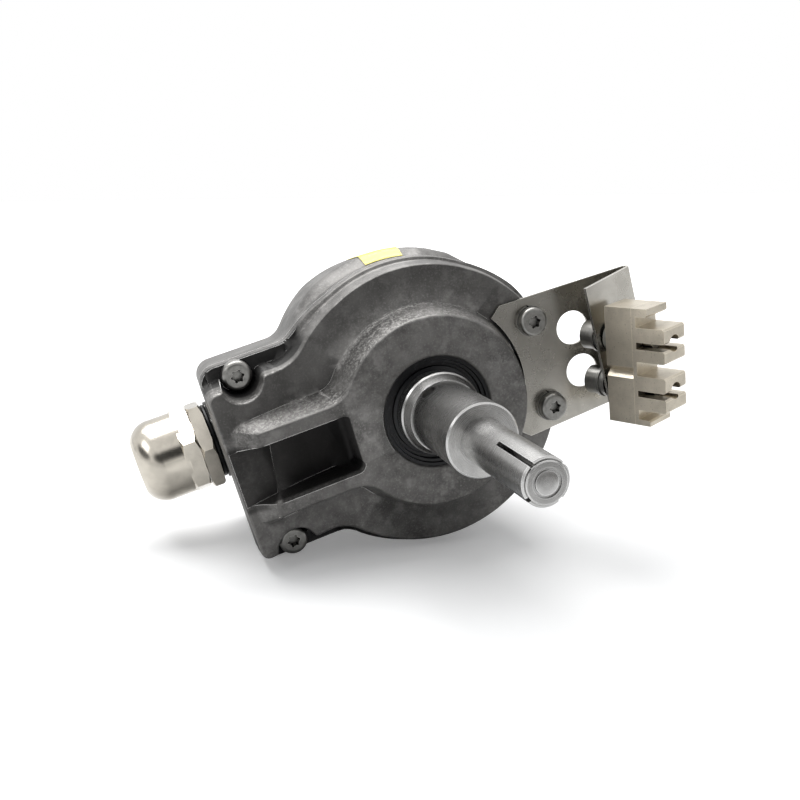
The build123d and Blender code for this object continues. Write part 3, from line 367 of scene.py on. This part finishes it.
FINISHES = {
    "cast_housing": cast_metal(),
    "gasket": rubber("gasket_rubber", (0.012, 0.012, 0.012), 0.6),
    "label": plastic("label_film", (0.86, 0.74, 0.14), 0.32),
    "screw_steel": plain_metal("zinc_steel", (0.300, 0.295, 0.280), 0.32),
    "shaft_steel": turned_steel("turned_shaft", (0.54, 0.535, 0.525), 0.26),
    "seal_rubber": rubber("black_rubber", (0.006, 0.006, 0.007), 0.22),
    "bearing_steel": turned_steel("ground_steel", (0.60, 0.60, 0.61), 0.18),
    "spring_steel": plain_metal("black_spring_steel", (0.10, 0.10, 0.11), 0.35),
    "turned_aluminium": turned_steel("turned_aluminium", (0.74, 0.74, 0.75), 0.30),
    "disc_steel": plain_metal("etched_disc", (0.50, 0.50, 0.51), 0.25, 0.9),
    "circuit_board": plastic("solder_mask", (0.02, 0.16, 0.06), 0.30),
    "black_plastic": plastic("black_plastic", (0.02, 0.02, 0.02), 0.45),
    "gland_nickel": plated("gland_nickel", (0.60, 0.56, 0.49), 0.19, 0.0),
    "bracket_steel": sheet_steel(),
    "clamp_nickel": plated("clamp_nickel", (0.60, 0.545, 0.45), 0.30, 1.0),
}

slot_of = {part["node"]: part["material_slot"] for part in frame["record"]["subparts"]}
for name, node in frame["nodes"].items():
    node.data.materials.clear()
    node.data.materials.append(FINISHES[slot_of[name]])


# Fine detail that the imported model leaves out
WELD = 0.002 * MM
CUT_REACH = 0.0001 * MM
SHARP = radians(28)
TIP_L = 35.5


def new_piece(name, form, slot, body, *stands_for):
    """Object from an edited mesh, with the finish of a slot, riding on a body."""
    bmesh.ops.recalc_face_normals(form, faces=form.faces)
    mesh = bpy.data.meshes.new(name)
    form.to_mesh(mesh)
    form.free()
    for polygon in mesh.polygons:
        polygon.use_smooth = True
    mesh.set_sharp_from_angle(angle=SHARP)
    mesh.materials.clear()
    mesh.materials.append(FINISHES[slot])
    piece = bpy.data.objects.new(name, mesh)
    bpy.context.scene.collection.objects.link(piece)
    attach(piece, body)
    if stands_for:
        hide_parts(*stands_for)
    return piece


def copied_form(node):
    """Editable, welded copy of a node's mesh, in the model's frame."""
    source = frame["nodes"][node]
    form = bmesh.new()
    form.from_mesh(source.data)
    bmesh.ops.transform(form, matrix=source.matrix_world, verts=form.verts)
    bmesh.ops.remove_doubles(form, verts=form.verts, dist=WELD)
    return form


def cut_across(form, direction, places):
    """Adds edges where planes across a direction meet the surface, so that it can bend there."""
    for place in places:
        everything = form.verts[:] + form.edges[:] + form.faces[:]
        point = BACK * SHAFT_L + direction * place * MM
        bmesh.ops.bisect_plane(form, geom=everything, plane_co=point, plane_no=direction, dist=CUT_REACH)


def lathe_form(profile, steps=96):
    """Closed body of revolution about the shaft's axis, from (radius, y) pairs in millimetres."""
    form = bmesh.new()
    rings = []
    for radius, y in profile:
        count = 1 if radius == 0 else steps
        turns = [2 * pi * step / steps for step in range(count)]
        rings.append([form.verts.new((radius * MM * cos(t), y * MM, radius * MM * sin(t))) for t in turns])
    for first, second in zip(rings, rings[1:]):
        for step in range(steps):
            after = step + 1
            corners = [first[step % len(first)], first[after % len(first)]]
            corners += [second[after % len(second)], second[step % len(second)]]
            form.faces.new(list(dict.fromkeys(corners)))
    return form


# The box side of the front shell comes forward to the left: shift in millimetres at each distance
FORWARD = ((-30.0, 0.0), (-37.3, 0.7), (-43.6, 1.8), (-54.5, 3.8), (-64.0, 5.6))
CUTS_ALONG = (-30.0, -33.5, -37.3, -40.5, -43.6, -49.0, -52.0, -54.5, -57.0)
CUTS_ACROSS = (-21.0, -17.0, -13.5, -10.0, 10.0, 13.5, 17.0, 21.0)
FACE_DEPTH = 9.4
SEAT_DEPTH = 16.5

# Over the top of the round side the rim is slimmer and the rear body behind it fuller
TOP_FROM = radians(32)
TOP_TO = radians(135)
FADE_TO_ARM = radians(25)
FADE_TO_BOX = radians(20)
SKIN_R = 36
SLIM_R = 40
SLIM_SHARE = 0.45
SLIM_END = 28
SLIM_FADE = 4
FILL = 1.3
FILL_START = 24
FILL_FADE = 6
CUTS_BEHIND = (24.0, 25.5, 27.0, 28.5, 30.0, 36.0, 42.0, 48.0, 53.0)

# The label sits further toward the clamp arm than in the model, just proud of the fuller body
LABEL_TURN = radians(7)
LABEL_LIFT = 0.12


def forward_shift(u):
    """How far the face lies forward at this distance, in millimetres."""
    for (near, low), (far, high) in zip(FORWARD, FORWARD[1:]):
        if far <= u < near:
            return low + (high - low) * (near - u) / (near - far)
    return 0.0 if u >= FORWARD[0][0] else FORWARD[-1][1]


def shift_share(depth):
    """All of the shift at the face, none at the crests of the ribs and at the screw seats."""
    if depth <= FACE_DEPTH:
        return max(0.0, depth / FACE_DEPTH)
    return max(0.0, (SEAT_DEPTH - depth) / (SEAT_DEPTH - FACE_DEPTH))


def upper_share(u, v):
    """1 over the top of the round side, fading toward the clamp arm and the box."""
    turn = atan2(v, u)
    return max(0.0, min(1.0, (turn - TOP_FROM) / FADE_TO_ARM, (TOP_TO - turn) / FADE_TO_BOX))


def level_top(form, lift=0.0):
    """Slims the rim over the top of the round side and fills out the rear body behind it."""
    for vertex in form.verts:
        u = vertex.co.dot(U) / MM
        v = vertex.co.dot(V) / MM
        depth = (vertex.co.y - SHAFT_L) / MM
        radius = hypot(u, v)
        share = upper_share(u, v)
        if radius < SKIN_R or share == 0.0:
            continue
        slim = SLIM_SHARE * max(0.0, radius - SLIM_R) * max(0.0, min(1.0, (SLIM_END - depth) / SLIM_FADE))
        fill = lift + FILL * max(0.0, min(1.0, (depth - FILL_START) / FILL_FADE))
        vertex.co += (U * u + V * v) / radius * (fill - slim) * share * MM


def front_shell():
    """Front shell whose box side comes forward and whose rim is slimmer over the top."""
    form = copied_form("front_housing")
    cut_across(form, U, CUTS_ALONG)
    cut_across(form, V, CUTS_ACROSS)
    for vertex in form.verts:
        u = vertex.co.dot(U) / MM
        depth = (vertex.co.y - SHAFT_L) / MM
        vertex.co.y -= forward_shift(u) * shift_share(depth) * MM
    level_top(form)
    new_piece("front_shell", form, "cast_housing", "housing", "front_housing")


def rear_shell():
    """Rear shell that is fuller over the top."""
    form = copied_form("rear_cover")
    cut_across(form, BACK, CUTS_BEHIND)
    level_top(form)
    new_piece("rear_shell", form, "cast_housing", "housing", "rear_cover")


def seam_gasket():
    """Gasket that follows the slimmer rim."""
    form = copied_form("housing_gasket")
    level_top(form)
    new_piece("seam_gasket", form, "gasket", "housing", "housing_gasket")


def label_film():
    """Label, turned toward the clamp arm and laid on the fuller rear body."""
    form = copied_form("label")
    bmesh.ops.transform(form, matrix=Matrix.Rotation(LABEL_TURN, 4, "Y"), verts=form.verts)
    cut_across(form, BACK, CUTS_BEHIND)
    level_top(form, lift=LABEL_LIFT)
    new_piece("label_film", form, "label", "housing", "label")


# Ringed end face of the expander, as (radius, distance past the end of the tip) in millimetres
CONE_FACE = ((0, 0.03), (5.0, 0.03), (5.2, 0.12), (5.2, 0.30), (4.9, 0.50), (3.6, 0.50),
             (3.5, 0.12), (2.95, 0.12), (2.85, 0.42), (2.5, 0.52), (1.5, 0.58), (0, 0.60))


def expander_face():
    """End face of the expander, just clear of the tip."""
    profile = [(radius, -TIP_L - out) for radius, out in CONE_FACE]
    new_piece("expander_face", lathe_form(profile), "shaft_steel", "expander")


front_shell()
rear_shell()
seam_gasket()
label_film()
expander_face()


# Studio: white floor that keeps the shadow, white world, soft lamps from above, dark cards for reflections
FLOOR_GLOW = 0.22
FLOOR_HALF = 3.0
GLOW_FROM = 0.2
GLOW_FULL = 0.8
CARD_CORE = 0.22
CARD_EDGE = 0.5
AIM = (0, 0.05, 0)


def floor_material():
    """White floor that glows a little for the camera, and fully where it meets the background."""
    s = Surface("studio_floor")
    s.shader.inputs["Base Color"].default_value = (0.86, 0.86, 0.86, 1)
    s.shader.inputs["Roughness"].default_value = 0.5
    s.shader.inputs["Specular IOR Level"].default_value = 0.2
    glow = s.node("ShaderNodeEmission")
    glow.inputs["Color"].default_value = (1, 1, 1, 1)
    s.link(s.range(s.band(s.distance(), GLOW_FROM, GLOW_FULL), FLOOR_GLOW, 1.0), glow.inputs["Strength"])
    path = s.node("ShaderNodeLightPath")
    nothing = s.node("ShaderNodeEmission")
    nothing.inputs["Strength"].default_value = 0
    seen = s.node("ShaderNodeMixShader")
    s.link(path.outputs["Is Camera Ray"], seen.inputs[0])
    s.link(nothing.outputs[0], seen.inputs[1])
    s.link(glow.outputs[0], seen.inputs[2])
    total = s.node("ShaderNodeAddShader")
    s.link(s.shader.outputs[0], total.inputs[0])
    s.link(seen.outputs[0], total.inputs[1])
    s.link(total.outputs[0], s.tree.nodes["Material Output"].inputs["Surface"])
    return s.material


bpy.ops.mesh.primitive_plane_add(size=2 * FLOOR_HALF, location=(0, 0, FLOOR_Z))
floor = bpy.context.object
floor.name = "studio_floor"
floor.data.materials.append(floor_material())


def card(name, centre, size, target, colour=(0.02, 0.02, 0.02), soft_light=True):
    """Card with soft edges that only reflections and soft light see."""
    bpy.ops.mesh.primitive_plane_add(size=1, location=centre)
    piece = bpy.context.object
    piece.name = name
    piece.scale = (size[0], size[1], 1)
    piece.rotation_euler = (Vector(target) - Vector(centre)).to_track_quat("Z", "Y").to_euler()
    s = Surface(name)
    s.shader.inputs["Base Color"].default_value = (*colour, 1)
    s.shader.inputs["Roughness"].default_value = 1
    clear = s.node("ShaderNodeBsdfTransparent")
    blend = s.node("ShaderNodeMixShader")
    s.link(s.band(s.distance(), CARD_CORE, CARD_EDGE), blend.inputs[0])
    s.link(s.shader.outputs[0], blend.inputs[1])
    s.link(clear.outputs[0], blend.inputs[2])
    s.link(blend.outputs[0], s.tree.nodes["Material Output"].inputs["Surface"])
    piece.data.materials.append(s.material)
    piece.visible_camera = False
    piece.visible_shadow = False
    piece.visible_diffuse = soft_light


card("dark_card_front", (-0.10, -1.10, 0.42), (1.9, 0.9), AIM)
card("dark_card_right", (0.95, -0.55, 0.30), (0.9, 0.5), AIM)
card("dark_card_left", (-0.90, -0.10, 0.22), (1.3, 0.5), AIM, soft_light=False)
card("low_flag", (0.08, -0.15, -0.03), (0.28, 0.13), (0.03, 0.05, -0.01),
     colour=(0.16, 0.155, 0.15), soft_light=False)


def studio_world():
    """White behind the object and in its reflections, and a softer, slightly cool light on it."""
    world = bpy.data.worlds.new("studio")
    bpy.context.scene.world = world
    world.use_nodes = True
    nodes = world.node_tree.nodes
    links = world.node_tree.links
    seen = nodes["Background"]
    seen.inputs["Color"].default_value = (1, 1, 1, 1)
    seen.inputs["Strength"].default_value = 1.0
    soft = nodes.new("ShaderNodeBackground")
    soft.inputs["Color"].default_value = (0.94, 0.97, 1.0, 1)
    soft.inputs["Strength"].default_value = 0.36
    path = nodes.new("ShaderNodeLightPath")
    share = path.outputs["Is Camera Ray"]
    for ray in ("Is Glossy Ray", "Is Transmission Ray"):
        either = nodes.new("ShaderNodeMath")
        either.operation = "MAXIMUM"
        links.new(share, either.inputs[0])
        links.new(path.outputs[ray], either.inputs[1])
        share = either.outputs[0]
    choice = nodes.new("ShaderNodeMixShader")
    links.new(share, choice.inputs[0])
    links.new(soft.outputs[0], choice.inputs[1])
    links.new(seen.outputs[0], choice.inputs[2])
    links.new(choice.outputs[0], nodes["World Output"].inputs["Surface"])


studio_world()


def lamp(name, centre, size, power):
    """Soft square lamp aimed at the object."""
    light = bpy.data.lights.new(name, "AREA")
    light.shape = "RECTANGLE"
    light.size, light.size_y = size
    light.energy = power
    piece = bpy.data.objects.new(name, light)
    piece.location = centre
    piece.rotation_euler = (Vector(centre) - Vector(AIM)).to_track_quat("Z", "Y").to_euler()
    bpy.context.scene.collection.objects.link(piece)


lamp("top_lamp", (-0.10, 0.45, 0.95), (1.1, 0.9), 16.0)
lamp("left_lamp", (-0.95, -0.15, 0.50), (0.6, 0.6), 2.5)

# Camera at the photograph's angle
CAMERA_PLACE = Vector((-96.6, -224.7, 68.3)) * MM
CAMERA_RIGHT = Vector((0.9493, -0.3143, 0.0))
CAMERA_UP = Vector((0.0724, 0.2185, 0.9731))
CAMERA_BACK = Vector((-0.3058, -0.9238, 0.2302))
CAMERA_LENS = 45.0
CAMERA_SENSOR = 36.0
CAMERA_NEAR = 0.01


def photo_camera():
    """The scene's camera, where the photograph was taken from."""
    data = bpy.data.cameras.new("camera")
    data.lens = CAMERA_LENS
    data.sensor_width = CAMERA_SENSOR
    data.clip_start = CAMERA_NEAR
    camera = bpy.data.objects.new("camera", data)
    turn = Matrix((CAMERA_RIGHT, CAMERA_UP, CAMERA_BACK)).transposed()
    camera.matrix_world = Matrix.Translation(CAMERA_PLACE) @ turn.to_4x4()
    bpy.context.scene.collection.objects.link(camera)
    bpy.context.scene.camera = camera


photo_camera()
bpy.context.scene.view_settings.view_transform = "Standard"

bpy.context.view_layer.update()
